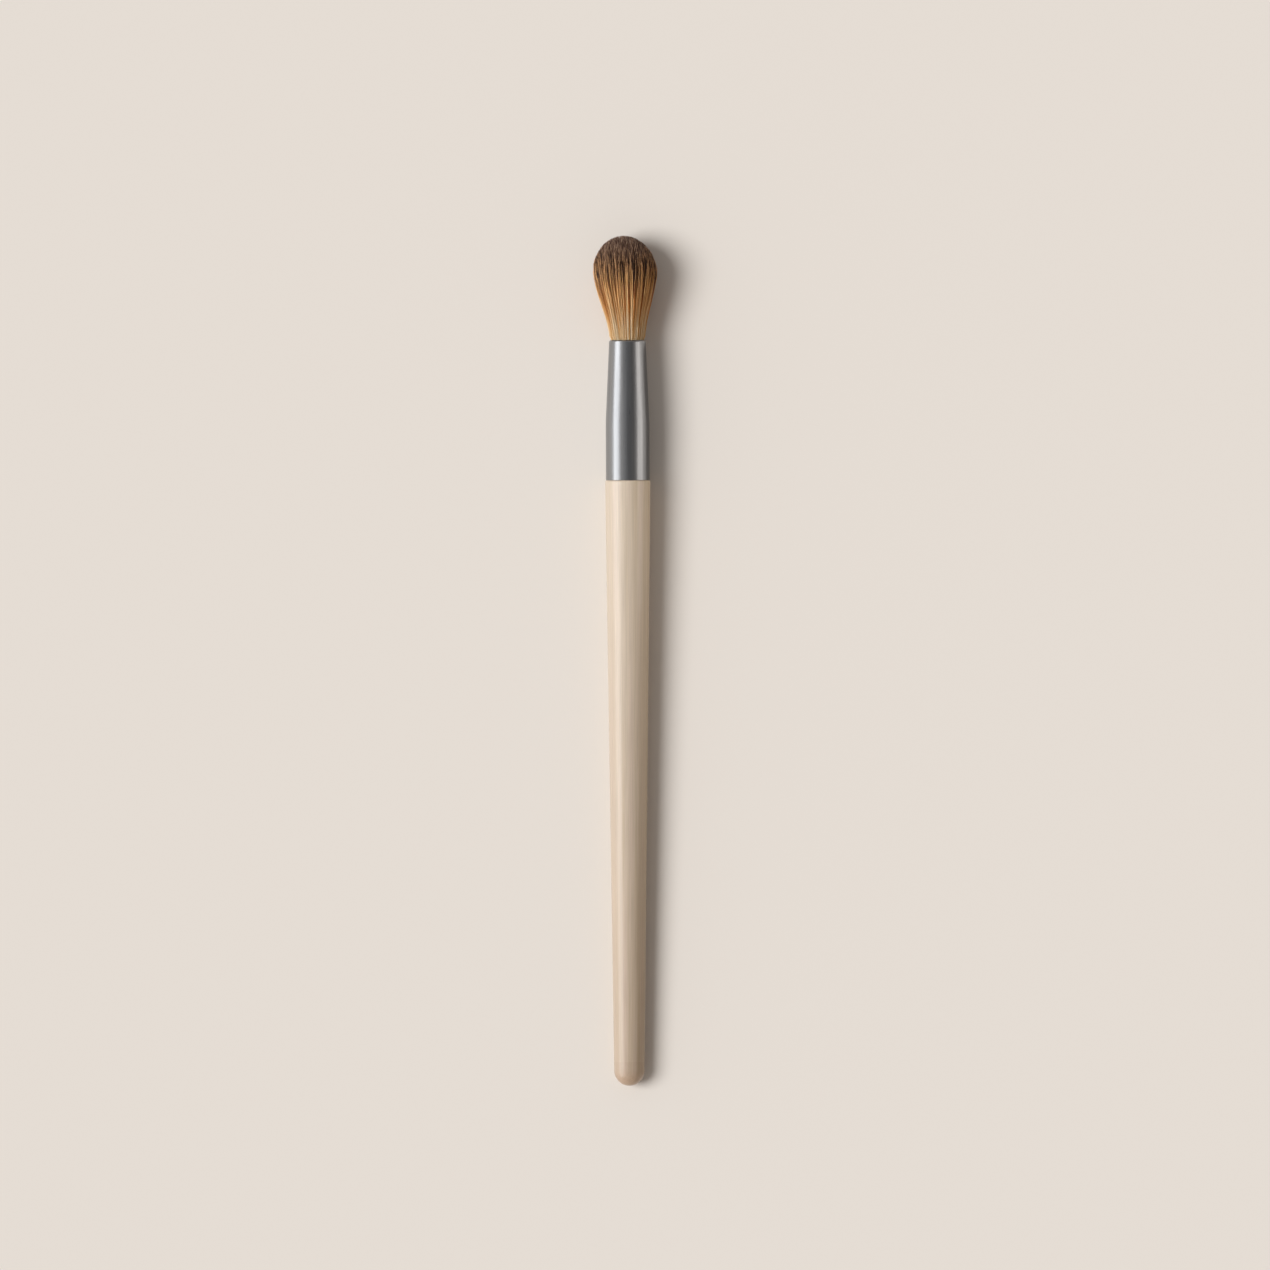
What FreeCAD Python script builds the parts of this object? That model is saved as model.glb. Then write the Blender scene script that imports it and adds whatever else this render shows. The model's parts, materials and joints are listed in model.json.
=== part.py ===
import FreeCAD, Part
import math
import os

# A round eyeshadow brush, lying as it rests on a table: the belly of the bristle head and
# the butt of the handle both touch it. All sizes are in millimetres. Along the brush, 0 is
# where the ferrule meets the handle, and distances grow towards the bristle tip.

# Handle: turned wood, tapering to a round butt, with a tenon that goes into the ferrule
HANDLE_LENGTH = 117.7
BUTT_DIAMETER = 5.9
HANDLE_PROUD = 0.15
SHOULDER_EASE = 0.2
TENON_CHAMFER = 0.6

# Ferrule: drawn aluminium tube, a straight band and then a taper to a rolled-in lip
FERRULE_LENGTH = 27.2
BAND_LENGTH = 11.3
BAND_DIAMETER = 8.5
MOUTH_DIAMETER = 7.1
FERRULE_WALL = 0.3
LIP_INNER_RADIUS = 0.15

# Bonds inside the ferrule: a glue film round the tenon, an epoxy plug at the bristle roots
GLUE_FILM = 0.12
TENON_SETBACK = 0.8
PLUG_AIR_GAP = 2.0
PLUG_SETBACK = 2.0

# Bristle head: locks of filaments in rings round a centre lock, trimmed to a dome
BRISTLE_REACH = 20.1
BELLY_DISTANCE = 12.9
BELLY_DIAMETER = 12.7
LIP_CLEARANCE = 0.08
LOCK_GAP = 0.12
LOCK_GROOVE = 0.35
LOCK_RINGS = 4
LOCKS_PER_STEP = 6
LOCK_FLAT_SHARE = 0.55
FLARE_EASE = 0.58
FLARE_STEPS = (0.0, 0.5, 0.85, 1.0)
DOME_POWER = 2.25
RING_NAMES = ("center", "inner", "middle", "outer", "edge")

Vector = FreeCAD.Vector

band_radius = BAND_DIAMETER / 2
bore_radius = band_radius - FERRULE_WALL
tenon_radius = bore_radius - GLUE_FILM
tenon_length = BAND_LENGTH - TENON_SETBACK
shoulder_radius = band_radius + HANDLE_PROUD
butt_radius = BUTT_DIAMETER / 2
butt_center = butt_radius - HANDLE_LENGTH

taper_length = FERRULE_LENGTH - BAND_LENGTH
taper_slope = (BAND_DIAMETER - MOUTH_DIAMETER) / 2 / taper_length
taper_angle = math.atan(taper_slope)
lip_radius = LIP_INNER_RADIUS + FERRULE_WALL
lip_center = FERRULE_LENGTH - lip_radius
lip_opening = band_radius - taper_slope * (lip_center - BAND_LENGTH) - lip_radius / math.cos(taper_angle)

plug_start = tenon_length + PLUG_AIR_GAP
plug_end = FERRULE_LENGTH - PLUG_SETBACK

belly_radius = BELLY_DIAMETER / 2
throat_radius = lip_opening - LIP_CLEARANCE
dome_height = BRISTLE_REACH - BELLY_DISTANCE
lock_pitch = belly_radius / (LOCK_RINGS + 0.5)


def line(start, end):
    """A straight edge of an outline, between two (radius, distance along the brush) points."""
    return Part.LineSegment(Vector(*start, 0), Vector(*end, 0)).toShape()


def arc(center, radius, start_angle, end_angle):
    """A round edge of an outline. Angle 0 points away from the axis, and 90 degrees at the tip."""
    angles = (start_angle, (start_angle + end_angle) / 2, end_angle)
    points = [Vector(center[0] + radius * math.cos(a), center[1] + radius * math.sin(a), 0) for a in angles]
    return Part.Arc(*points).toShape()


def chain(points):
    """Straight edges through the points of an outline, in order."""
    return [line(start, end) for start, end in zip(points, points[1:])]


def turned(edges):
    """The solid that a closed outline sweeps round the axis of the brush."""
    face = Part.Face(Part.Wire(edges))
    return face.revolve(Vector(0, 0, 0), Vector(0, 1, 0), 360)


def handle():
    """The turned handle: a round butt, a straight taper, an eased shoulder and the tenon."""
    shoulder = (shoulder_radius, -SHOULDER_EASE)
    butt_to_shoulder = math.hypot(shoulder[0], shoulder[1] - butt_center)
    tangent_angle = math.atan2(shoulder[1] - butt_center, shoulder[0]) - math.acos(butt_radius / butt_to_shoulder)
    tangent = (
        butt_radius * math.cos(tangent_angle),
        butt_center + butt_radius * math.sin(tangent_angle),
    )
    outline = [
        tangent,
        shoulder,
        (shoulder_radius - SHOULDER_EASE, 0),
        (tenon_radius, 0),
        (tenon_radius, tenon_length - TENON_CHAMFER),
        (tenon_radius - TENON_CHAMFER, tenon_length),
        (0, tenon_length),
        (0, -HANDLE_LENGTH),
    ]
    butt = arc((0, butt_center), butt_radius, -math.pi / 2, tangent_angle)
    return turned(chain(outline) + [butt])


def tenon_glue():
    """The thin sleeve of adhesive between the tenon and the bore of the ferrule."""
    outline = [
        (tenon_radius, 0),
        (bore_radius, 0),
        (bore_radius, tenon_length - TENON_CHAMFER),
        (tenon_radius, tenon_length - TENON_CHAMFER),
    ]
    return turned(chain(outline + outline[:1]))


def bore_outline_end():
    """Where the inner corner between band and taper lies, and where the taper meets the lip."""
    corner = (bore_radius, BAND_LENGTH - FERRULE_WALL * math.tan(taper_angle / 2))
    lip_start = (
        lip_opening + LIP_INNER_RADIUS * math.cos(taper_angle),
        lip_center + LIP_INNER_RADIUS * math.sin(taper_angle),
    )
    return corner, lip_start


def ferrule():
    """The tube: its sheet follows the band and the taper, then rolls in a quarter turn."""
    corner, inner_lip = bore_outline_end()
    outer_lip = (
        lip_opening + lip_radius * math.cos(taper_angle),
        lip_center + lip_radius * math.sin(taper_angle),
    )
    outside = chain([(bore_radius, 0), (band_radius, 0), (band_radius, BAND_LENGTH), outer_lip])
    rolled = arc((lip_opening, lip_center), lip_radius, taper_angle, math.pi / 2)
    sheet_edge = line((lip_opening, FERRULE_LENGTH), (lip_opening, FERRULE_LENGTH - FERRULE_WALL))
    hollow = arc((lip_opening, lip_center), LIP_INNER_RADIUS, math.pi / 2, taper_angle)
    inside = chain([inner_lip, corner, (bore_radius, 0)])
    return turned(outside + [rolled, sheet_edge, hollow] + inside)


def root_plug():
    """The epoxy that pots the bristle roots: it fills the tapered bore below the mouth."""
    corner, inner_lip = bore_outline_end()
    bore = turned(chain([(0, 0), (bore_radius, 0), corner, inner_lip, (0, inner_lip[1]), (0, 0)]))
    slab = Part.makeCylinder(
        band_radius, plug_end - plug_start, Vector(0, plug_start, 0), Vector(0, 1, 0)
    )
    return bore.common(slab)


def lock_section(ring):
    """The outline of a lock at the belly, centred on angle 0: (outwards, sideways) points."""
    if ring == 0:
        first_inner = lock_pitch / 2 + LOCK_GAP / 2
        half_angle = math.pi / LOCKS_PER_STEP
        facing = first_inner * math.cos(half_angle - math.asin(LOCK_GAP / 2 / first_inner))
        corner_radius = (facing - LOCK_GAP) / math.cos(half_angle)
        angles = [half_angle * (2 * i + 1) for i in range(LOCKS_PER_STEP)]
        return [(corner_radius * math.cos(a), corner_radius * math.sin(a)) for a in angles]
    half_angle = math.pi / (LOCKS_PER_STEP * ring)
    inner = (ring - 0.5) * lock_pitch + LOCK_GAP / 2
    outer = belly_radius if ring == LOCK_RINGS else (ring + 0.5) * lock_pitch - LOCK_GAP / 2
    groove = outer - LOCK_GROOVE
    one_side = [
        (inner, half_angle - math.asin(LOCK_GAP / 2 / inner)),
        (groove, half_angle - math.asin(LOCK_GAP / 2 / groove)),
        (outer, half_angle * LOCK_FLAT_SHARE),
    ]
    polar = [(r, -a) for r, a in one_side] + [(r, a) for r, a in reversed(one_side)]
    return [(r * math.cos(a), r * math.sin(a)) for r, a in polar]


def dome_plane(radius):
    """Height over the belly and slope of the dome, a superellipse, at a distance from the axis."""
    share = radius / belly_radius
    rest = 1 - share**DOME_POWER
    height = dome_height * rest ** (1 / DOME_POWER)
    slope = -dome_height / belly_radius * share ** (DOME_POWER - 1) * rest ** (1 / DOME_POWER - 1)
    return height, slope


def lock_levels(ring):
    """The corners of a lock at each level, from its root to its trimmed end."""
    section = lock_section(ring)
    levels = [[(x * throat_radius / belly_radius, y * throat_radius / belly_radius, plug_end) for x, y in section]]
    for step in FLARE_STEPS:
        smooth = step * step * (3 - 2 * step)
        opened = step + FLARE_EASE * (smooth - step)
        scale = (throat_radius + (belly_radius - throat_radius) * opened) / belly_radius
        distance = FERRULE_LENGTH + BELLY_DISTANCE * step
        levels.append([(x * scale, y * scale, distance) for x, y in section])
    center = ring * lock_pitch
    height, slope = dome_plane(center)
    trim = FERRULE_LENGTH + BELLY_DISTANCE + height
    levels.append([(x, y, trim + slope * (x - center)) for x, y in section])
    return levels


def bristle_lock(ring, angle):
    """One lock as a closed solid of flat faces, turned to its place in the ring."""
    turn_cos = math.cos(angle)
    turn_sin = math.sin(angle)
    levels = [
        [Vector(x * turn_cos - y * turn_sin, a, x * turn_sin + y * turn_cos) for x, y, a in level]
        for level in lock_levels(ring)
    ]
    rims = [levels[0], levels[-1]]
    for below, above in zip(levels, levels[1:]):
        for i in range(len(below)):
            rims.append([below[i - 1], below[i], above[i], above[i - 1]])
    faces = [Part.Face(Part.makePolygon(rim + rim[:1])) for rim in rims]
    shell = Part.makeShell(faces)
    shell.sewShape()
    solid = Part.makeSolid(shell)
    if solid.Volume < 0:
        solid.reverse()
    return solid


def bristle_ring(ring):
    """All the locks of one ring, or the centre lock alone."""
    count = max(1, LOCKS_PER_STEP * ring)
    return Part.makeCompound([bristle_lock(ring, 2 * math.pi * i / count) for i in range(count)])


def resting_place():
    """The placement that lays the brush on the table, over the middle of its length."""
    belly_flat = belly_radius * math.cos(math.pi / (LOCKS_PER_STEP * LOCK_RINGS) * LOCK_FLAT_SHARE)
    belly = FERRULE_LENGTH + BELLY_DISTANCE
    span = math.hypot(belly - butt_center, belly_flat)
    tilt = math.atan2(belly_flat, belly - butt_center) - math.asin(butt_radius / span)
    tip = (FERRULE_LENGTH + BRISTLE_REACH) * math.cos(tilt)
    butt = butt_center * math.cos(tilt) - butt_radius
    base = Vector(0, -(tip + butt) / 2, butt_radius - butt_center * math.sin(tilt))
    return FreeCAD.Placement(base, FreeCAD.Rotation(Vector(1, 0, 0), math.degrees(tilt)))


pieces = {
    "handle": handle(),
    "tenon_glue": tenon_glue(),
    "ferrule": ferrule(),
    "root_plug": root_plug(),
}
for ring, name in enumerate(RING_NAMES):
    pieces[name + "_bristles"] = bristle_ring(ring)

os.makedirs("parts", exist_ok=True)
place = resting_place()
for node, shape in pieces.items():
    shape.Placement = place
    shape.exportStep("parts/" + node + ".step")
    print(node, len(shape.Solids), "solids", round(shape.Volume, 2), "mm3", "valid", shape.isValid())
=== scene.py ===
import json
import math

import bpy
import numpy as np
from mathutils import Matrix, Vector


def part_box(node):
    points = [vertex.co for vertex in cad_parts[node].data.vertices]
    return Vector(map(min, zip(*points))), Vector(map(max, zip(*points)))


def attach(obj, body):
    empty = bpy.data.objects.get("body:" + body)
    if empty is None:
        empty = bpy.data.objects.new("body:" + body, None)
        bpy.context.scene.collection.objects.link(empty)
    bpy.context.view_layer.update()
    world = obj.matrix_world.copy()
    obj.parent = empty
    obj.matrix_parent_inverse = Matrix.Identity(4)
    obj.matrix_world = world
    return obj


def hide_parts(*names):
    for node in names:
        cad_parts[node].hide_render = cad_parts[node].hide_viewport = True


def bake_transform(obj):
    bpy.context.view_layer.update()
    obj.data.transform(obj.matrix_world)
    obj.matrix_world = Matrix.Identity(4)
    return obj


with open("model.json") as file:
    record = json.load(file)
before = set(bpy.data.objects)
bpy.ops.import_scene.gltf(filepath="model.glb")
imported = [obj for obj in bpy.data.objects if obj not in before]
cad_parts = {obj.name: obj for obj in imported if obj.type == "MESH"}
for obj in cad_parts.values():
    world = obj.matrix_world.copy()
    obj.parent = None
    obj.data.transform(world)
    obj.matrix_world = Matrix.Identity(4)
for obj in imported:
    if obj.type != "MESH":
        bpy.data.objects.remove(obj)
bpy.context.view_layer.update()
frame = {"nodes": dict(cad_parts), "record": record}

# Handle
# Turned from one length of wood, tapering straight to a round butt, with a tenon at the
# top end. It is dipped in a cream lacquer that leaves the grain faintly visible.
handle_parent = "handle_and_ferrule"
band = frame["record"]["mounts"][0]
band_radius = band["dims"]["r_mm"] / 1000
band_length = band["dims"]["length_mm"] / 1000
tip_way = -Vector(band["axis"]).normalized()
side_way = Vector((1, 0, 0))
up_way = side_way.cross(tip_way)
seam_point = Vector(band["pos_m"]) - tip_way * band_length / 2
brush_place = Matrix((side_way, tip_way, up_way)).transposed().to_4x4()
brush_place.translation = seam_point
axis_tilt = math.asin(tip_way.z)
nearly_straight = math.radians(89.9)
on_axis = 1e-9


def reach_of(node):
    """Lowest and highest distance of a CAD node along the brush, from the ferrule's seam."""
    along = [(v.co - seam_point).dot(tip_way) for v in frame["nodes"][node].data.vertices]
    return min(along), max(along)


def put_down(name, data):
    """An object with that mesh, lamp or camera, put in the scene."""
    made = bpy.data.objects.new(name, data)
    bpy.context.scene.collection.objects.link(made)
    return made


def eased_outline(corners, steps=6):
    """Points of a turned outline. A corner is (along, radius, ease), and ease rounds it off."""
    points = [corners[0][:2]]
    for before, (along, radius, ease), after in zip(corners, corners[1:], corners[2:]):
        here = Vector((along, radius))
        back = (Vector(before[:2]) - here).normalized()
        ahead = (Vector(after[:2]) - here).normalized()
        half = back.angle(ahead) / 2
        if ease == 0 or half > nearly_straight:
            points.append(tuple(here))
            continue
        center = here + (back + ahead).normalized() * ease / math.sin(half)
        start = here + back * ease / math.tan(half) - center
        turn = start.angle_signed(here + ahead * ease / math.tan(half) - center)
        for i in range(steps + 1):
            points.append(tuple(center + Matrix.Rotation(-turn * i / steps, 2) @ start))
    points.append(corners[-1][:2])
    return points


def turned_piece(name, outline, sides=160):
    """A closed turned mesh: the outline, from axis to axis or back to its start, swept round."""
    closed = outline[0] == outline[-1]
    rings = outline[:-1] if closed else outline
    vertices = []
    first = []
    counts = []
    for along, radius in rings:
        first.append(len(vertices))
        counts.append(1 if radius < on_axis else sides)
        for i in range(counts[-1]):
            angle = 2 * math.pi * i / sides - math.pi / 2
            vertices.append((radius * math.cos(angle), along, radius * math.sin(angle)))
    steps = [math.dist(p, q) for p, q in zip(outline, outline[1:])]
    share = np.concatenate([[0], np.cumsum(steps)]) / sum(steps)
    faces = []
    corners = []
    for j in range(len(outline) - 1):
        low = (j % len(rings), share[j])
        high = ((j + 1) % len(rings), share[j + 1])
        for i in range(sides):
            face = []
            for (ring, up), turn in ((low, i), (high, i), (high, i + 1), (low, i + 1)):
                index = first[ring] + (turn % sides if counts[ring] > 1 else 0)
                if index not in face:
                    face.append(index)
                    corners.append((turn / sides, up))
            faces.append(face)
    mesh = bpy.data.meshes.new(name)
    mesh.from_pydata(vertices, [], faces)
    chart = mesh.uv_layers.new(name="OFBake")
    chart.uv.foreach_set("vector", np.array(corners, np.float32).ravel())
    mesh.transform(brush_place)
    mesh.shade_smooth()
    return put_down(name, mesh)


butt_radius = 0.00295
shoulder_step = 0.00015
shoulder_chamfer = 0.0002
shoulder_round = 0.00012
face_round = 0.00003
ferrule_wall = 0.0003
glue_film = 0.00012
tenon_chamfer = 0.0006
tenon_round = 0.0001
shoulder_radius = band_radius + shoulder_step
bore_radius = band_radius - ferrule_wall
tenon_radius = bore_radius - glue_film
butt_end, tenon_end = reach_of("handle")
butt_middle = butt_end + butt_radius
handle_lean = math.asin((shoulder_radius - butt_radius) / (-shoulder_chamfer - butt_middle))
dome_steps = 24
dome = [
    (butt_middle - butt_radius * math.cos(a), butt_radius * math.sin(a))
    for a in np.linspace(0, math.pi / 2 - handle_lean, dome_steps)
]
dome[0] = (butt_end, 0.0)
shank = [
    (*dome[-1], 0),
    (-shoulder_chamfer, shoulder_radius, shoulder_round),
    (0, shoulder_radius - shoulder_chamfer, face_round),
    (0, tenon_radius, face_round),
    (tenon_end - tenon_chamfer, tenon_radius, tenon_round),
    (tenon_end, tenon_radius - tenon_chamfer, tenon_round),
    (tenon_end, 0, 0),
]
handle = turned_piece("handle_lacquered", dome[:-1] + eased_outline(shank))


def colour(red, green, blue):
    """A colour written in 0 to 255 steps, as a shader takes it."""
    steps = [c / 255 for c in (red, green, blue)]
    linear = [c / 12.92 if c <= 0.04045 else ((c + 0.055) / 1.055) ** 2.4 for c in steps]
    return (*linear, 1.0)


def new_material(name):
    """A material with its Principled shader, ready for its own nodes."""
    material = bpy.data.materials.new(name)
    material.use_nodes = True
    return material, material.node_tree, material.node_tree.nodes["Principled BSDF"]


def lengthwise_streaks():
    """Shader group: soft and fine streaks that run along the brush, as grain and drawn metal do."""
    group = bpy.data.node_groups.new("Lengthwise streaks", "ShaderNodeTree")
    for name, way, kind in (
        ("Position", "INPUT", "NodeSocketVector"),
        ("Across", "INPUT", "NodeSocketFloat"),
        ("Along", "INPUT", "NodeSocketFloat"),
        ("Soft streaks", "OUTPUT", "NodeSocketFloat"),
        ("Fine streaks", "OUTPUT", "NodeSocketFloat"),
    ):
        group.interface.new_socket(name, in_out=way, socket_type=kind)
    add = group.nodes.new
    link = group.links.new
    start = add("NodeGroupInput")
    end = add("NodeGroupOutput")
    level = add("ShaderNodeMapping")
    level.inputs["Rotation"].default_value = (-axis_tilt, 0, 0)
    link(start.outputs["Position"], level.inputs["Vector"])
    stretch = add("ShaderNodeCombineXYZ")
    link(start.outputs["Across"], stretch.inputs["X"])
    link(start.outputs["Along"], stretch.inputs["Y"])
    link(start.outputs["Across"], stretch.inputs["Z"])
    drawn = add("ShaderNodeVectorMath")
    drawn.operation = "MULTIPLY"
    link(level.outputs["Vector"], drawn.inputs[0])
    link(stretch.outputs["Vector"], drawn.inputs[1])
    for output, size, detail in (("Soft streaks", 1.0, 2.0), ("Fine streaks", 6.0, 4.0)):
        noise = add("ShaderNodeTexNoise")
        noise.inputs["Scale"].default_value = size
        noise.inputs["Detail"].default_value = detail
        link(drawn.outputs["Vector"], noise.inputs["Vector"])
        link(noise.outputs["Fac"], end.inputs[output])
    return group


streaks = lengthwise_streaks()
rough_span = (0.3, 0.7)
mix_inputs = (0, 6, 7)
mix_output = 2


def place_streaks(tree, across, along):
    """The streaks group in a material, with that many streaks per metre across and along."""
    here = tree.nodes.new("ShaderNodeTexCoord")
    placed = tree.nodes.new("ShaderNodeGroup")
    placed.node_tree = streaks
    placed.inputs["Across"].default_value = across
    placed.inputs["Along"].default_value = along
    tree.links.new(here.outputs["Object"], placed.inputs["Position"])
    return placed.outputs["Soft streaks"], placed.outputs["Fine streaks"]


def ramp(tree, stops, value):
    """A colour ramp through (place, colour) stops, read at a value socket."""
    node = tree.nodes.new("ShaderNodeValToRGB")
    while len(node.color_ramp.elements) < len(stops):
        node.color_ramp.elements.new(1.0)
    for element, (place, tint) in zip(node.color_ramp.elements, stops):
        element.position = place
        element.color = tint
    tree.links.new(value, node.inputs["Fac"])
    return node.outputs["Color"]


def mixed(tree, factor, first, second, blend="MIX"):
    """Two colours mixed. The factor and the colours are sockets or plain values."""
    node = tree.nodes.new("ShaderNodeMix")
    node.data_type = "RGBA"
    node.blend_type = blend
    for place, given in zip(mix_inputs, (factor, first, second)):
        if isinstance(given, bpy.types.NodeSocket):
            tree.links.new(given, node.inputs[place])
        else:
            node.inputs[place].default_value = given
    return node.outputs[mix_output]


def multiplied(tree, first, second):
    """One colour tinted by another."""
    return mixed(tree, 1.0, first, second, "MULTIPLY")


def graded(tree, value, span, result=(0.0, 1.0)):
    """A value carried from one span to another, and held at its ends."""
    node = tree.nodes.new("ShaderNodeMapRange")
    for socket, given in zip(node.inputs[1:5], (*span, *result)):
        socket.default_value = given
    tree.links.new(value, node.inputs["Value"])
    return node.outputs["Result"]


def roughened(tree, shader, streak, roughness):
    """Roughness that goes from one value to another with the streaks."""
    tree.links.new(graded(tree, streak, rough_span, roughness), shader.inputs["Roughness"])


def raised(tree, shader, height, depth):
    """A bump of that depth, in metres, from a height socket, on the shader's normal."""
    bump = tree.nodes.new("ShaderNodeBump")
    bump.inputs["Strength"].default_value = 1.0
    bump.inputs["Distance"].default_value = depth
    tree.links.new(height, bump.inputs["Height"])
    tree.links.new(bump.outputs["Normal"], shader.inputs["Normal"])


cream = colour(209, 191, 166)
khaki = colour(202, 183, 155)
rose = colour(209, 189, 166)
fine_span = (0.35, 0.65)
fine_shades = (0.91, 1.04)
# The handle is tinted darker and warmer towards the butt: painted shade.
painted_length_shade = (0.82, 0.77, 0.73, 1)
full_tint = (1, 1, 1, 1)
# Near the butt there is a line with a faint lighter edge and a darker band below it: a painted
# highlight at the edge and painted shade below, where the gloss ends.
shade_line = 0.0048
shade_line_blur = 0.0005
painted_shade_tint = (0.965, 0.945, 0.94, 1)
painted_highlight_edge = (1.02, 1.02, 1.02, 1)
# The rounded butt end is mixed towards a darker tan: painted shade where the end curves away.
painted_butt_shade = colour(184, 152, 122)
butt_shade_start = 0.0034
butt_shade_full = 0.0004
butt_shade_share = 0.85
lacquer_roughness = (0.34, 0.42)
lacquer_coat = 0.38
coat_roughness = 0.08
grain_depth = 0.000008
lacquer, tree, shader = new_material("Cream lacquer over grain")
soft, fine = place_streaks(tree, across=1050, along=9)
here = tree.nodes.new("ShaderNodeTexCoord")
place = tree.nodes.new("ShaderNodeSeparateXYZ")
tree.links.new(here.outputs["Object"], place.inputs[0])
length = place.outputs["Y"]
butt_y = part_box("handle")[0].y
shade_line_y = butt_y + shade_line
lower = graded(tree, length, (butt_y, seam_point.y))
shade_line_mask = graded(tree, length, (shade_line_y - shade_line_blur, shade_line_y + shade_line_blur))
butt_shade_mask = graded(tree, length, (butt_y + butt_shade_start, butt_y + butt_shade_full), (0.0, butt_shade_share))
tint = ramp(tree, [(0.32, khaki), (0.5, cream), (0.68, rose)], soft)
# Painted shade, darker towards the butt.
tint = multiplied(tree, tint, ramp(tree, [(0.0, painted_length_shade), (0.9, full_tint)], lower))
# Painted band near the butt: painted shade below the line, a painted highlight at it.
painted_shade_band = ramp(tree, [(0.3, painted_shade_tint), (0.5, painted_highlight_edge), (0.7, full_tint)], shade_line_mask)
tint = multiplied(tree, tint, painted_shade_band)
# Painted shade on the butt end.
tint = mixed(tree, butt_shade_mask, tint, painted_butt_shade)
tint = multiplied(tree, tint, graded(tree, fine, fine_span, fine_shades))
tree.links.new(tint, shader.inputs["Base Color"])
roughened(tree, shader, fine, lacquer_roughness)
shader.inputs["Coat Weight"].default_value = lacquer_coat
shader.inputs["Coat Roughness"].default_value = coat_roughness
raised(tree, shader, fine, grain_depth)
handle.data.materials.append(lacquer)
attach(handle, handle_parent)
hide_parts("handle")

# Tenon glue
# A thin film of white wood adhesive that fills the gap between the tenon and the
# ferrule's bore. It is squeezed out as the handle is pushed home, and never shows.
glue_white = colour(226, 216, 190)
glue_clear = colour(205, 188, 150)
glue_roughness = (0.45, 0.65)
adhesive, tree, shader = new_material("Dried adhesive")
soft, fine = place_streaks(tree, across=700, along=300)
tint = ramp(tree, [(0.35, glue_clear), (0.65, glue_white)], soft)
tree.links.new(tint, shader.inputs["Base Color"])
roughened(tree, shader, fine, glue_roughness)


def finish_node(node, material):
    """Gives a CAD node that stays in the scene its own finish."""
    finishes = frame["nodes"][node].data.materials
    finishes.clear()
    finishes.append(material)


finish_node("tenon_glue", adhesive)

# Ferrule
# Drawn from thin aluminium tube: a straight band that holds the tenon, a taper that
# squeezes the bristles, and a lip rolled inwards so that no cut edge meets the hair.
lip_inside = 0.00015
mouth_radius = 0.00355
bore_start = 0.0004
bore_round = 0.00004
band_round = 0.00008
bend_round = 0.045
bend_steps = 10
lip_radius = lip_inside + ferrule_wall
mouth = reach_of("ferrule")[1]
ferrule_lean = math.atan((band_radius - mouth_radius) / (mouth - band_length))
lip_middle = mouth - lip_radius
lip_inset = math.tan(ferrule_lean) * (lip_middle - band_length)
lip_opening = band_radius - lip_inset - lip_radius / math.cos(ferrule_lean)


def lip_arc(radius, start, end, steps):
    """Points of the rolled lip, from one angle to another. 0 points away from the axis."""
    return [
        (lip_middle + radius * math.sin(a), lip_opening + radius * math.cos(a))
        for a in np.linspace(start, end, steps)
    ]


outer_lip = lip_arc(lip_radius, ferrule_lean, math.pi / 2, steps=12)
inner_lip = lip_arc(lip_inside, math.pi / 2, ferrule_lean, steps=6)
outside = [
    (bore_start, bore_radius, 0),
    (0, bore_radius, bore_round),
    (0, band_radius, band_round),
    (band_length, band_radius, bend_round),
    (*outer_lip[0], 0),
]
inside = [
    (*inner_lip[-1], 0),
    (band_length, bore_radius, 0),
    (bore_start, bore_radius, 0),
]
tube = eased_outline(outside, bend_steps) + outer_lip[1:] + inner_lip + eased_outline(inside)[1:]
ferrule = turned_piece("ferrule_tube", tube)

silver = colour(158, 160, 163)
shade = colour(146, 148, 151)
metal_roughness = (0.27, 0.35)
drawing_depth = 0.000002
aluminium, tree, shader = new_material("Satin drawn aluminium")
soft, fine = place_streaks(tree, across=1500, along=14)
tint = ramp(tree, [(0.35, shade), (0.65, silver)], soft)
tree.links.new(tint, shader.inputs["Base Color"])
shader.inputs["Metallic"].default_value = 1.0
roughened(tree, shader, fine, metal_roughness)
raised(tree, shader, fine, drawing_depth)
ferrule.data.materials.append(aluminium)
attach(ferrule, handle_parent)
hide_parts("ferrule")

# Root plug
# Amber epoxy that is poured round the bristle roots and sets them in the ferrule. Its
# top lies a little below the mouth, under the hair.
amber = colour(186, 148, 86)
amber_dark = colour(150, 112, 58)
epoxy_roughness = (0.12, 0.3)
epoxy, tree, shader = new_material("Amber epoxy")
soft, fine = place_streaks(tree, across=500, along=400)
tint = ramp(tree, [(0.3, amber_dark), (0.7, amber)], soft)
tree.links.new(tint, shader.inputs["Base Color"])
roughened(tree, shader, fine, epoxy_roughness)
finish_node("root_plug", epoxy)

# Bristle head
# Thousands of fine filaments, golden at the ferrule and dipped dark brown at the tips.
# They leave the mouth in a tight bundle, swell to a belly and are trimmed to a dome.
belly = 0.0129
belly_radius = 0.00621
lip_clear = 0.00008
flare_ease = 0.3
dome_power = 2.02
dome_halvings = 30
curl = 0.16
curl_limit = 1.2
spill = 0.0006
spill_start = 0.0005
spill_fade = 0.0016
reach = reach_of("center_bristles")[1] - mouth
dome_height = reach - belly
throat_radius = lip_opening - lip_clear


def bundle_radius(height):
    """Radius of the bundle at heights over the mouth, without the closing of the dome."""
    t = np.clip(height / belly, 0, 1)
    opened = t + flare_ease * (t * t * (3 - 2 * t) - t)
    over = np.clip((height - belly) / dome_height, 0, curl_limit)
    free = np.maximum(height, 0)
    spilled = spill * (1 - np.exp(-free / spill_start)) * np.exp(-free / spill_fade)
    return (throat_radius + (belly_radius - throat_radius) * opened + spilled) * (1 - curl * over**2)


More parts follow.
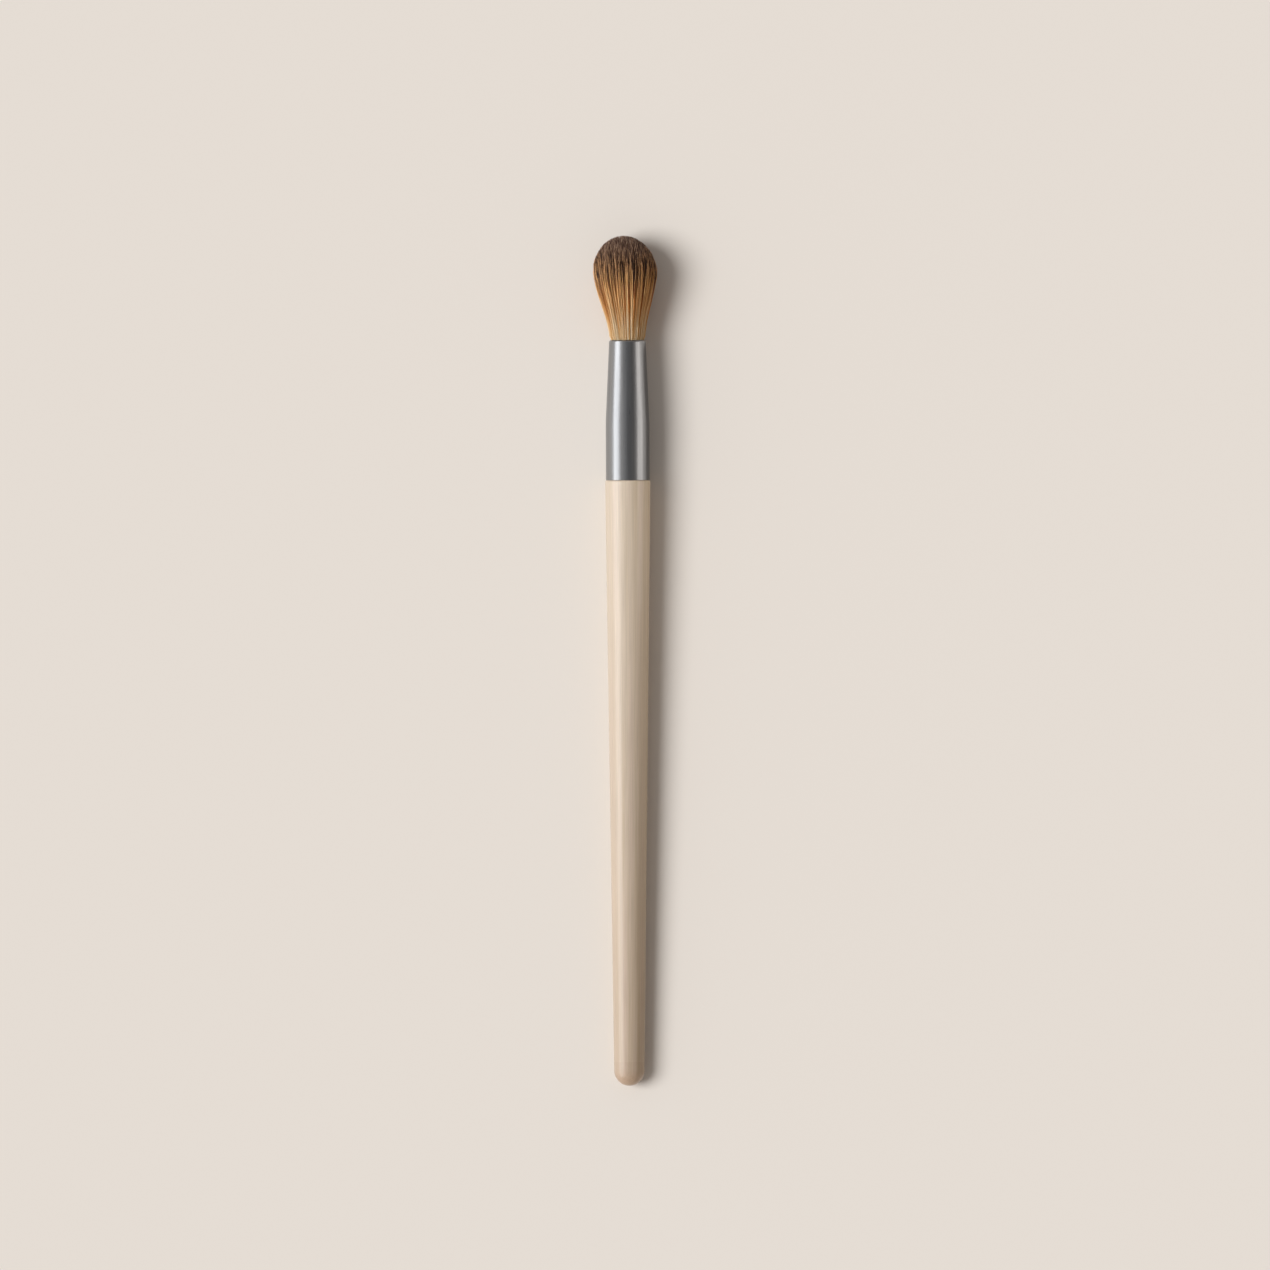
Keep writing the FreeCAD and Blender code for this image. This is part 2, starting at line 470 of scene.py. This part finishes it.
def dome_reach(share):
    """Height over the mouth at which a filament in that share of the bundle meets the dome."""
    low = np.zeros_like(share)
    high = np.ones_like(share)
    for _ in range(dome_halvings):
        middle = (low + high) / 2
        outline = (1 - middle**dome_power) ** (1 / dome_power)
        inside = share * (1 - curl * middle**2) < outline
        low = np.where(inside, middle, low)
        high = np.where(inside, high, middle)
    return belly + dome_height * low


seed = 7
root_scatter = 0.02
random = np.random.default_rng(seed)


def spread_roots(count, inner, outer):
    """Even places in a ring of the bundle, a golden angle apart, as shares of its radius."""
    order = np.arange(count) + 0.5
    share = np.sqrt(inner**2 + (outer**2 - inner**2) * order / count)
    angle = order * math.pi * (3 - math.sqrt(5)) + random.normal(0, root_scatter, count)
    return np.stack([share * np.cos(angle), share * np.sin(angle)], 1)


def nearest(places, centers):
    """The index of the nearest center for each place."""
    return ((places[:, None, :] - centers[None, :, :]) ** 2).sum(2).argmin(1)


def turned_by(places, angle):
    """Places turned round the axis, each by its own angle."""
    side, up = places.T
    turned_side = side * np.cos(angle) - up * np.sin(angle)
    turned_up = side * np.sin(angle) + up * np.cos(angle)
    return np.stack([turned_side, turned_up], 1)


wisp_count = 1500
wisp_inset = 0.985
wisp_trim_spread = 0.0002
wisp_drift_spread = 0.03
tuft_count = 70
wisps = spread_roots(wisp_count, 0.0, 1.0) * wisp_inset
wisp_tone = random.normal(0, 1, wisp_count)
wisp_trim = random.normal(0, wisp_trim_spread, wisp_count)
wisp_drift = random.normal(0, wisp_drift_spread, wisp_count)
tufts = spread_roots(tuft_count, 0.0, 1.0)
tuft_tone = random.normal(0, 1, tuft_count)

tone_middle = 0.42
tuft_share = 0.05
wisp_share = 0.27
own_tone_spread = 0.16
tone_limits = (0.15, 0.99)
stray_tones = (0.6, 0.98)


def filament_tones(roots, wisp, stray):
    """How pale filaments are, from 0 to 1. Tufts and wisps have tones in common, strays are pale."""
    count = len(roots)
    tone = tone_middle + tuft_share * tuft_tone[nearest(roots, tufts)] + wisp_share * wisp_tone[wisp]
    tone = np.clip(tone + random.normal(0, own_tone_spread, count), *tone_limits) ** 2
    return np.where(stray, random.uniform(*stray_tones, count), tone)


gather = 0.75
pull_range = (0.55, 1.0)
stray_drift_spread = 0.07
own_drift_spread = 0.012


def filament_ends(roots, wisp, stray):
    """Where filaments end in the bundle: drawn into their wisps and turned, or astray."""
    count = len(roots)
    pull = np.where(stray, 0, gather * random.uniform(*pull_range, count))
    stray_drift = random.normal(0, stray_drift_spread, count)
    drift = wisp_drift[wisp] + random.normal(0, own_drift_spread, count)
    drawn_in = roots + pull[:, None] * (wisps[wisp] - roots)
    return turned_by(drawn_in, np.where(stray, stray_drift, drift))


filament_sides = 3
floor_clear = 0.00003
chart_width = 0.001
chart_step = 0.002
chart_height = 0.997


def filament_mesh(name, sideways, height, upward, radius, turn, tone):
    """Three-sided filaments along their paths. Each point keeps its height and its tone."""
    count, levels = height.shape
    vertices = np.zeros((count, levels, filament_sides, 3))
    for side in range(filament_sides):
        angle = (turn + 2 * math.pi * side / filament_sides)[:, None]
        vertices[:, :, side, 0] = sideways + radius * np.cos(angle)
        vertices[:, :, side, 1] = mouth + height
        vertices[:, :, side, 2] = upward + radius * np.sin(angle)
    vertices = vertices.reshape(-1, 3)
    vertices = vertices @ np.array(brush_place.to_3x3()).T + np.array(brush_place.translation)
    vertices[:, 2] = np.maximum(vertices[:, 2], floor_clear)
    side = np.arange(filament_sides)
    after = (side + 1) % filament_sides
    root = np.arange(count)[:, None] * levels * filament_sides
    low = root[:, :, None] + np.arange(levels - 1)[None, :, None] * filament_sides
    high = low + filament_sides
    walls = np.stack([low + side, high + side, high + after, low + after], -1)
    faces = walls.reshape(-1, 4).tolist()
    faces += (root + side).tolist()
    faces += (root + (levels - 1) * filament_sides + side[::-1]).tolist()
    mesh = bpy.data.meshes.new(name)
    mesh.from_pydata(vertices.tolist(), [], faces)
    along = np.repeat((height / reach).ravel(), filament_sides)
    tones = np.repeat(tone, levels * filament_sides)
    for label, values in (("filament_along", along), ("filament_tone", tones)):
        layer = mesh.attributes.new(label, "FLOAT", "POINT")
        layer.data.foreach_set("value", values.astype(np.float32))
    corner = np.zeros(len(mesh.loops), np.int32)
    mesh.loops.foreach_get("vertex_index", corner)
    beside = (corner % filament_sides - 1) * chart_width
    beyond = (corner % filament_sides == 1) * chart_step
    share = (along - along.min()) / (along.max() - along.min())
    spread = np.stack([tones[corner] + beside, chart_height * share[corner] + beyond], 1)
    chart = mesh.uv_layers.new(name="OFBake")
    chart.uv.foreach_set("vector", spread.astype(np.float32).ravel())
    mesh.shade_smooth()
    return put_down(name, mesh)


thickness = 0.000065
thickness_range = (0.75, 1.15)
stray_thickness = 0.4
root_width = 0.7
tip_start = 0.6
tip_loss = 0.8
rim = 0.999
own_trim_spread = 0.00018
trim_limits = (-0.0009, 0.00015)
gather_power = 1.6
stray_swell = 0.015
wave_spread = 0.00007
lean = -0.00038
lean_power = 1.3
lean_limit = 2


def filaments(name, count, ring, near, steps, strays):
    """A layer of filaments in a ring of the bundle, from the near heights to the dome."""
    roots = spread_roots(count, *ring)
    wisp = nearest(roots, wisps)
    stray = random.uniform(0, 1, count) < strays
    tone = filament_tones(roots, wisp, stray)
    ends = filament_ends(roots, wisp, stray)
    tips = dome_reach(np.clip(np.hypot(*ends.T), 0, rim))
    tips += np.clip(wisp_trim[wisp] + random.normal(0, own_trim_spread, count), *trim_limits)
    rise = np.linspace(0, 1, steps)[1:]
    height = np.hstack([np.tile(near, (count, 1)), near[-1] + (tips - near[-1])[:, None] * rise])
    grown = np.clip(height / tips[:, None], 0, 1)
    gathered = grown[:, :, None] ** gather_power
    place = roots[:, None, :] + gathered * (ends - roots)[:, None, :]
    place *= (bundle_radius(height) * (1 + stray_swell * stray[:, None] * grown))[:, :, None]
    wave = random.normal(0, wave_spread, (count, 2))[:, None, :]
    place += wave * np.sin(math.pi * gathered)
    sideways = place[:, :, 0] + lean * np.clip(height / belly, 0, lean_limit) ** lean_power
    upward = place[:, :, 1]
    own_width = random.uniform(*thickness_range, count) + stray_thickness * stray
    taper = root_width + (1 - root_width) * np.clip(height / belly, 0, 1)
    taper *= 1 - tip_loss * np.clip((grown - tip_start) / (1 - tip_start), 0, 1)
    radius = thickness * own_width[:, None] * taper
    turn = random.uniform(0, 2 * math.pi, count)
    return filament_mesh(name, sideways, height, upward, radius, turn, tone)


skin_count = 2500
skin_ring = (0.88, 1.0)
skin_near = [-0.0018, -0.0003, 0.0002, 0.0007, 0.0018]
shell_count = 2800
shell_ring = (0.7, 0.9)
shell_near = [-0.0018, 0.0003]
side_steps = 8
side_strays = 0.12
crown_count = 5200
crown_ring = (0.0, 0.72)
crown_near = [0.0105]
crown_steps = 6
crown_strays = 0.05
skin = filaments("bristle_skin", skin_count, skin_ring, skin_near, side_steps, side_strays)
shell = filaments("bristle_shell", shell_count, shell_ring, shell_near, side_steps, side_strays)
crown = filaments("bristle_crown", crown_count, crown_ring, crown_near, crown_steps, crown_strays)

# The last stop of each ramp, lighter and greyer than the dark brown before it, is painted sheen on
# the very tips.
deep_zones = [
    (0.0, colour(209, 165, 103)),
    (0.2, colour(196, 132, 62)),
    (0.4, colour(184, 110, 44)),
    (0.53, colour(128, 65, 19)),
    (0.65, colour(60, 32, 15)),
    (0.8, colour(56, 33, 20)),
    (1.0, colour(108, 78, 62)),
]
pale_zones = [
    (0.0, colour(247, 222, 178)),
    (0.2, colour(247, 203, 142)),
    (0.43, colour(246, 188, 116)),
    (0.57, colour(233, 172, 113)),
    (0.73, colour(207, 163, 128)),
    (1.0, colour(226, 198, 174)),
]
dip_tones = (0.0, 0.7)
dip_shift = (0.07, -0.13)
crisp_tones = (0.28, 0.62)
tip_zone = (0.55, 0.75)
tone_span = (0.0, 1.0)
hair_roughness = (0.46, 0.34)
hair_gloss = 0.36
filament, tree, shader = new_material("Dipped filament")
along = tree.nodes.new("ShaderNodeAttribute")
along.attribute_name = "filament_along"
tone = tree.nodes.new("ShaderNodeAttribute")
tone.attribute_name = "filament_tone"
dip = tree.nodes.new("ShaderNodeMath")
dip.operation = "ADD"
tree.links.new(along.outputs["Fac"], dip.inputs[0])
tree.links.new(graded(tree, tone.outputs["Fac"], dip_tones, dip_shift), dip.inputs[1])
deep = ramp(tree, deep_zones, dip.outputs[0])
pale = ramp(tree, pale_zones, dip.outputs[0])
crisp = graded(tree, tone.outputs["Fac"], crisp_tones)
at_tip = graded(tree, along.outputs["Fac"], tip_zone)
paleness = mixed(tree, at_tip, tone.outputs["Fac"], crisp)
tree.links.new(mixed(tree, paleness, deep, pale), shader.inputs["Base Color"])
roughness = graded(tree, tone.outputs["Fac"], tone_span, hair_roughness)
tree.links.new(roughness, shader.inputs["Roughness"])
shader.inputs["Specular IOR Level"].default_value = hair_gloss
bend_start = brush_place @ Vector((0, mouth, 0))
for piece, nodes in (
    (skin, ["edge_bristles"]),
    (shell, ["outer_bristles"]),
    (crown, ["center_bristles", "inner_bristles", "middle_bristles"]),
):
    piece.data.materials.append(filament)
    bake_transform(piece)
    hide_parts(*nodes)

# Studio
# The brush lies on a plain pale sheet with a lamp of its own. A cool key from the left lights
# the brush, and a softbox below it gives the gloss. On the right, a small warm lamp fills the
# ferrule's side, and a grey card that shows only in reflections keeps the edges dark.


def matte_material(name, tint, roughness):
    """A plain finish with no gloss."""
    material, tree, shader = new_material(name)
    shader.inputs["Base Color"].default_value = tint
    shader.inputs["Roughness"].default_value = roughness
    shader.inputs["Specular IOR Level"].default_value = 0.0
    return material


def flat_piece(name, across, along, lift, material):
    """A level rectangle between two places across the brush and two along it."""
    mesh = bpy.data.meshes.new(name)
    mesh.from_pydata([(x, y, lift) for x in across for y in along], [], [(0, 2, 3, 1)])
    mesh.materials.append(material)
    return put_down(name, mesh)


sheet_colour = colour(226, 220, 213)
sheet_roughness = 0.9
sheet_span = (-6.0, 6.0)
paper = matte_material("Matte paper", sheet_colour, sheet_roughness)
sheet = flat_piece("table_sheet", sheet_span, sheet_span, 0, paper)

card_colour = colour(214, 209, 203)
card_roughness = 1.0
card_span = (0.006, 0.028)
card_ends = (butt_y, bend_start.y)
card_lift = 0.0003
felt = matte_material("Grey felt", card_colour, card_roughness)
card = flat_piece("grey_card", card_span, card_ends, card_lift, felt)
card.visible_camera = False
card.visible_diffuse = False
card.visible_shadow = False

wall = colour(172, 167, 162)
ceiling_edge = colour(158, 158, 158)
ceiling = colour(115, 115, 116)
room_shades = [(0.0, wall), (0.6, wall), (0.88, ceiling_edge), (0.97, ceiling), (1.0, ceiling)]
ceiling_slant = math.radians(15)
left_light = (1.38, 1.4, 1.42, 1)
right_light = (0.58, 0.51, 0.46, 1)
left_to_right = (-1.0, 1.0)
room = bpy.data.worlds.new("Room")
bpy.context.scene.world = room
room.use_nodes = True
tree = room.node_tree
facing = tree.nodes.new("ShaderNodeTexCoord")
overhead = tree.nodes.new("ShaderNodeVectorMath")
overhead.operation = "DOT_PRODUCT"
overhead.inputs[1].default_value = (math.sin(ceiling_slant), 0, math.cos(ceiling_slant))
tree.links.new(facing.outputs["Generated"], overhead.inputs[0])
shades = ramp(tree, room_shades, overhead.outputs["Value"])
sides = tree.nodes.new("ShaderNodeSeparateXYZ")
tree.links.new(facing.outputs["Generated"], sides.inputs[0])
window = mixed(tree, graded(tree, sides.outputs["X"], left_to_right), left_light, right_light)
tree.links.new(multiplied(tree, shades, window), tree.nodes["Background"].inputs["Color"])


def slanted_sun(name, slant, width, energy):
    """A broad sun from the left, that many degrees from straight above, with no glint of its own."""
    lamp = put_down(name, bpy.data.lights.new(name, "SUN"))
    lamp.data.energy = energy
    lamp.data.angle = math.radians(width)
    lamp.rotation_euler = (0, -math.radians(slant), 0)
    lamp.visible_glossy = False
    return lamp


def upright_lamp(name, away, middle, length, low, high, energy):
    """An upright area lamp that faces the brush from the side, from one elevation to another."""
    bottom = abs(away) * math.tan(math.radians(low))
    top = abs(away) * math.tan(math.radians(high))
    lamp = put_down(name, bpy.data.lights.new(name, "AREA"))
    lamp.data.shape = "RECTANGLE"
    lamp.data.size = top - bottom
    lamp.data.size_y = length
    lamp.data.energy = energy
    lamp.location = (away, middle, (bottom + top) / 2)
    lamp.rotation_euler = (0, math.copysign(math.pi / 2, away), 0)
    return lamp


def lit_pieces(name, *pieces):
    """A collection of the pieces that a lamp lights."""
    group = bpy.data.collections.new(name)
    for piece in pieces:
        group.objects.link(piece)
    return group


cool_light = (0.95, 1.0, 1.14)
warm_light = (1, 0.94, 0.88)
ferrule_middle = (brush_place @ Vector((0, mouth / 2, 0))).y
whole_brush = lit_pieces("Whole brush", handle, ferrule, skin, shell, crown)
key = slanted_sun("key", slant=46, width=24, energy=2.62)
key.data.color = cool_light
key.data.cycles.max_bounces = 0
key.light_linking.receiver_collection = whole_brush
softbox = upright_lamp("softbox", away=-1.2, middle=0.0, length=2.4, low=9, high=43, energy=18.2)
softbox.visible_diffuse = False
softbox.light_linking.receiver_collection = whole_brush
fill = upright_lamp(
    "fill_card", away=0.09, middle=ferrule_middle, length=0.08, low=9, high=40, energy=0.0238
)
fill.data.color = warm_light
fill.light_linking.receiver_collection = lit_pieces("Handle and ferrule", handle, ferrule)
sheet_lamp = slanted_sun("sheet_lamp", slant=37, width=32, energy=2.65)
sheet_lamp.light_linking.receiver_collection = lit_pieces("Sheet alone", sheet)

photo_pixels = 1270
brush_pixels = 850
axis_pixel = 628.2
middle_pixel = 661.4
photo_turn = math.radians(-0.16)
brush_length = 0.165
axis_height = 0.006
camera_height = 2.2
sensor_width = 36
pixel = brush_length / brush_pixels
camera = put_down("camera", bpy.data.cameras.new("camera"))
camera.data.sensor_width = sensor_width
camera.data.lens = sensor_width * camera_height / (photo_pixels * pixel)
camera.location = (
    (photo_pixels / 2 - axis_pixel) * pixel,
    (middle_pixel - photo_pixels / 2) * pixel,
    camera_height + axis_height,
)
camera.rotation_euler = (0, 0, photo_turn)
bpy.context.scene.camera = camera
bpy.context.scene.view_settings.view_transform = "Standard"
